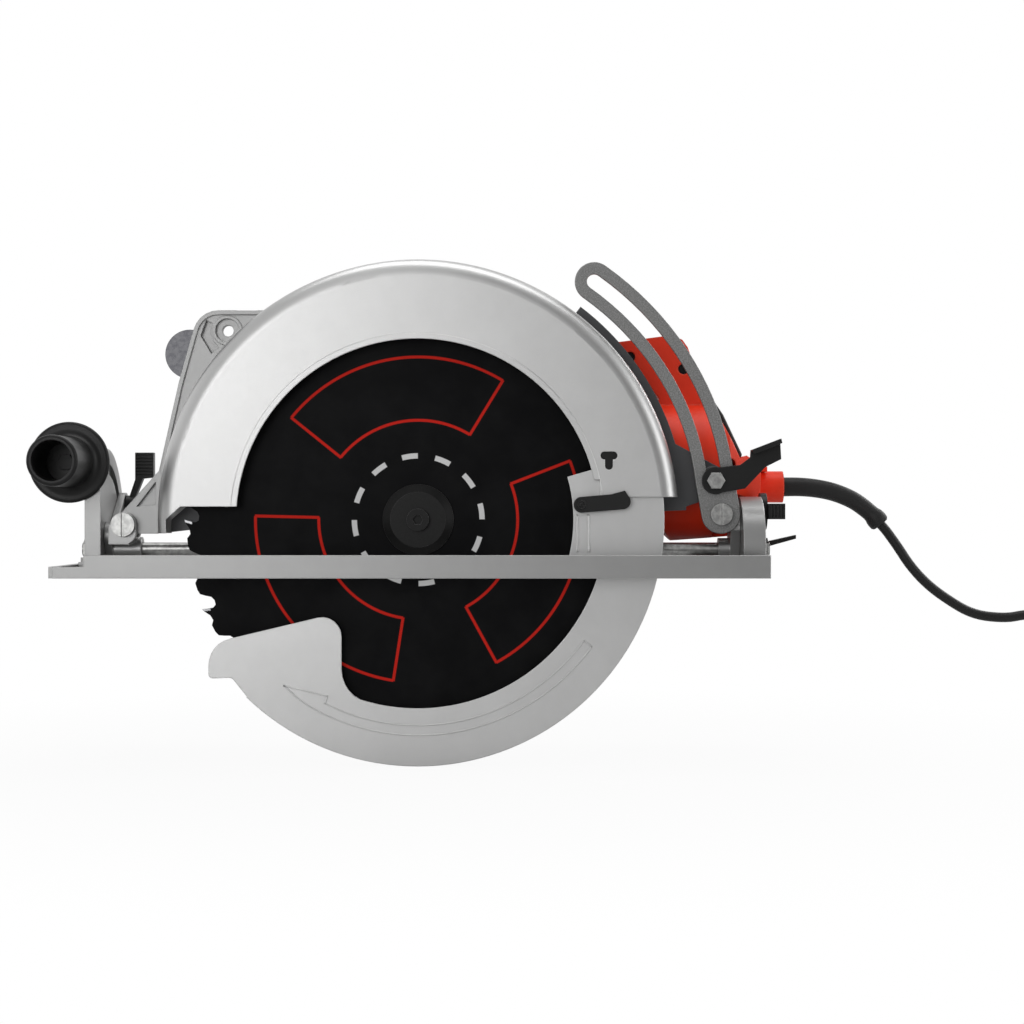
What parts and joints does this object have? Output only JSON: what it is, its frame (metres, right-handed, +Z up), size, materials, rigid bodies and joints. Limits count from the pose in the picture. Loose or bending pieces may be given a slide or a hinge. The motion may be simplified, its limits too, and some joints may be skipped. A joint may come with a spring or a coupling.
{
  "type": "worm drive circular saw",
  "caption": "Hand-held worm drive circular saw with a large toothed blade, cast guards, a tilting foot, a slotted depth bracket, a rear trigger handle and a coiled cord.",
  "frame": {"origin": "on the sole of the foot, in the plane of the blade, under the depth pivot", "axes": "+X to the rear of the saw, +Y to the motor side, +Z up"},
  "size_m": [1.1877, 0.3296, 0.447],
  "materials": {
    "cast": "sand cast, lightly brushed",
    "dark_cast": "satin paint",
    "steel": "machined",
    "zinc": "zinc plated",
    "blade_black": "low friction coat",
    "carbide": "ground",
    "black_plastic": "moulded",
    "red_plastic": "moulded",
    "rubber": "matt",
    "bronze": "cut teeth",
    "copper": "wound",
    "carbon": "pressed"
  },
  "bodies": {
    "foot": {"foot_plate": "cast", "front_quadrant": "cast", "rear_quadrant": "cast", "quadrant_bolts": "zinc", "front_grip": "black_plastic", "grip_bolt": "zinc"},
    "fence_lever": {"fence_lever": "black_plastic"},
    "tilt_frame": {"front_yoke": "cast", "rear_yoke": "cast", "tie_rod": "zinc", "depth_pivot_bolt": "zinc", "bracket_screw": "zinc", "bevel_studs": "zinc"},
    "front_bevel_lever": {"front_bevel_lever": "black_plastic"},
    "rear_bevel_lever": {"rear_bevel_lever": "black_plastic"},
    "depth_bracket": {"depth_bracket": "steel"},
    "saw_body": {"upper_guard": "cast", "guard_web": "cast", "guard_backplate": "dark_cast", "guard_screws": "zinc", "gear_housing": "cast", "gear_cover": "cast", "cover_screws": "zinc", "bearings": "steel", "motor_housing": "dark_cast", "stator": "copper", "brush_caps": "black_plastic", "brushes": "carbon", "handle_left": "red_plastic", "handle_right": "red_plastic", "handle_screws": "zinc", "rubber_grip": "rubber", "switch": "black_plastic", "cord_sleeve": "rubber", "side_handle_bar": "zinc", "side_handle_grip": "rubber", "depth_bolt": "zinc", "guard_spring": "steel", "guard_retainer": "steel", "power_cord": "rubber", "cord_coil": "rubber", "cord_tie": "black_plastic", "plug_body": "rubber", "plug_blades": "bronze"},
    "blade": {"saw_blade": "blade_black", "carbide_tips": "carbide", "inner_flange": "steel", "outer_flange": "blade_black", "arbor_bolt": "blade_black", "arbor_shaft": "steel", "worm_wheel": "bronze"},
    "rotor": {"worm": "steel", "armature_shaft": "steel", "armature_core": "copper", "fan": "black_plastic"},
    "lower_guard": {"lower_guard": "cast", "lift_lever": "black_plastic"},
    "depth_lever": {"depth_lever": "black_plastic"},
    "trigger": {"trigger": "black_plastic"},
    "lock_button": {"lock_button": "black_plastic"}
  },
  "joints": [
    {"name": "bevel_tilt", "type": "hinge", "parent": "foot", "child": "tilt_frame", "pos_m": [0, 0.028, 0.024], "axis": [1, 0, 0], "range_deg": [0, 45]},
    {"name": "depth_swing", "type": "hinge", "parent": "tilt_frame", "child": "saw_body", "pos_m": [0, 0.014, 0.046], "axis": [0, -1, 0], "range_deg": [0, 22.5]},
    {"name": "bracket_swing", "type": "hinge", "parent": "tilt_frame", "child": "depth_bracket", "pos_m": [0.5295, 0.005, 0.0552], "axis": [0, 1, 0], "range_deg": [0, 14.2]},
    {"name": "blade_spin", "type": "hinge", "parent": "saw_body", "child": "blade", "pos_m": [0.261, 0, 0.0505], "axis": [0, 1, 0], "continuous": true},
    {"name": "rotor_spin", "type": "hinge", "parent": "saw_body", "child": "rotor", "pos_m": [0.261, 0.09, 0.0945], "axis": [1, 0, 0], "continuous": true},
    {"name": "lower_guard_swing", "type": "hinge", "parent": "saw_body", "child": "lower_guard", "pos_m": [0.261, 0, 0.0505], "axis": [0, -1, 0], "range_deg": [0, 110], "stiffness_Nm_per_rad": 0.25, "springref_deg": -45.84},
    {"name": "depth_lever_turn", "type": "hinge", "parent": "saw_body", "child": "depth_lever", "pos_m": [0.524, 0, 0.085], "axis": [0, -1, 0], "range_deg": [0, 70]},
    {"name": "front_bevel_lever_turn", "type": "hinge", "parent": "tilt_frame", "child": "front_bevel_lever", "pos_m": [-0.012, 0.08906, 0.06215], "axis": [-1, 0, 0], "range_deg": [0, 60]},
    {"name": "rear_bevel_lever_turn", "type": "hinge", "parent": "tilt_frame", "child": "rear_bevel_lever", "pos_m": [0.57, 0.04031, 0.05783], "axis": [-1, 0, 0], "range_deg": [0, 60]},
    {"name": "fence_lever_turn", "type": "hinge", "parent": "foot", "child": "fence_lever", "pos_m": [0.552, 0.12, 0.022], "axis": [0, 0, 1], "range_deg": [0, 80]},
    {"name": "trigger_slide", "type": "slide", "parent": "saw_body", "child": "trigger", "axis": [0, 0, 1], "range_m": [0, 0.006], "stiffness_N_per_m": 600, "springref_m": -0.003},
    {"name": "lock_button_slide", "type": "slide", "parent": "saw_body", "child": "lock_button", "axis": [0, -1, 0], "range_m": [0, 0.005], "stiffness_N_per_m": 400, "springref_m": -0.002}
  ],
  "couplings": [
    {"joint": "rotor_spin", "follows": "blade_spin", "ratio": -10},
    {"joint": "bracket_swing", "follows": "depth_swing", "ratio": 0.61}
  ]
}
